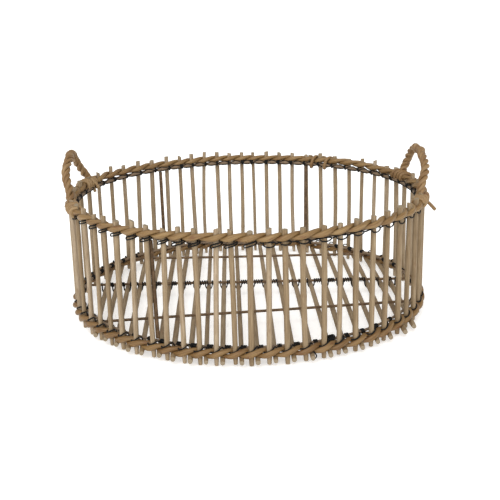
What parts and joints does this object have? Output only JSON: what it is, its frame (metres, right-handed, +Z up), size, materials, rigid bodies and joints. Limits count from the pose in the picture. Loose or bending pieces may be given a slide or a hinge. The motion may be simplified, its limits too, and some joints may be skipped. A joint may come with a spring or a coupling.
{
  "type": "log basket",
  "caption": "Round open basket of upright peeled rods in a wire frame, bound with twined cane at rim and foot, with a slatted rod base and an arched wound-cane handle on each side.",
  "frame": {"origin": "on the floor, at the middle of the base", "axes": "+Z up; the handles are at -X and +X; the base rods run along Y; the front is towards -Y"},
  "size_m": [0.5432, 0.5511, 0.2338],
  "materials": {
    "peeled_rod": "peeled willow, dry and matt",
    "twined_cane": "smooth cane, satin",
    "wound_cane": "wound cane, satin",
    "frame_wire": "dull painted steel wire"
  },
  "bodies": {
    "root": {"base_rod_01": "peeled_rod", "base_rod_02": "peeled_rod", "base_rod_03": "peeled_rod", "base_rod_04": "peeled_rod", "base_rod_05": "peeled_rod", "base_rod_06": "peeled_rod", "base_rod_07": "peeled_rod", "base_rod_08": "peeled_rod", "base_rod_09": "peeled_rod", "base_rod_10": "peeled_rod", "base_rod_11": "peeled_rod", "base_rod_12": "peeled_rod", "base_rod_13": "peeled_rod", "base_rod_14": "peeled_rod", "base_rod_15": "peeled_rod", "base_rod_16": "peeled_rod", "base_rod_17": "peeled_rod", "base_rod_18": "peeled_rod", "base_rod_19": "peeled_rod", "base_rod_20": "peeled_rod", "base_rod_21": "peeled_rod", "base_rod_22": "peeled_rod", "foot_strand_a": "twined_cane", "foot_strand_b": "twined_cane", "frame_bottom_ring": "frame_wire", "frame_cross_wire_back": "frame_wire", "frame_cross_wire_front": "frame_wire", "frame_cross_wire_middle": "frame_wire", "frame_top_ring": "frame_wire", "frame_upright_back_left": "frame_wire", "frame_upright_back_right": "frame_wire", "frame_upright_front_left": "frame_wire", "frame_upright_front_right": "frame_wire", "handle_lashing_left_back": "wound_cane", "handle_lashing_left_front": "wound_cane", "handle_lashing_right_back": "wound_cane", "handle_lashing_right_front": "wound_cane", "handle_left": "wound_cane", "handle_right": "wound_cane", "rim_splice_wrap_1": "wound_cane", "rim_splice_wrap_2": "wound_cane", "rim_strand_a": "twined_cane", "rim_strand_b": "twined_cane", "wall_rods_01": "peeled_rod", "wall_rods_02": "peeled_rod", "wall_rods_03": "peeled_rod", "wall_rods_04": "peeled_rod", "wall_rods_05": "peeled_rod", "wall_rods_06": "peeled_rod", "wall_rods_07": "peeled_rod", "wall_rods_08": "peeled_rod", "wall_rods_09": "peeled_rod", "wall_rods_10": "peeled_rod", "wall_rods_11": "peeled_rod", "wall_rods_12": "peeled_rod"}
  },
  "joints": []
}
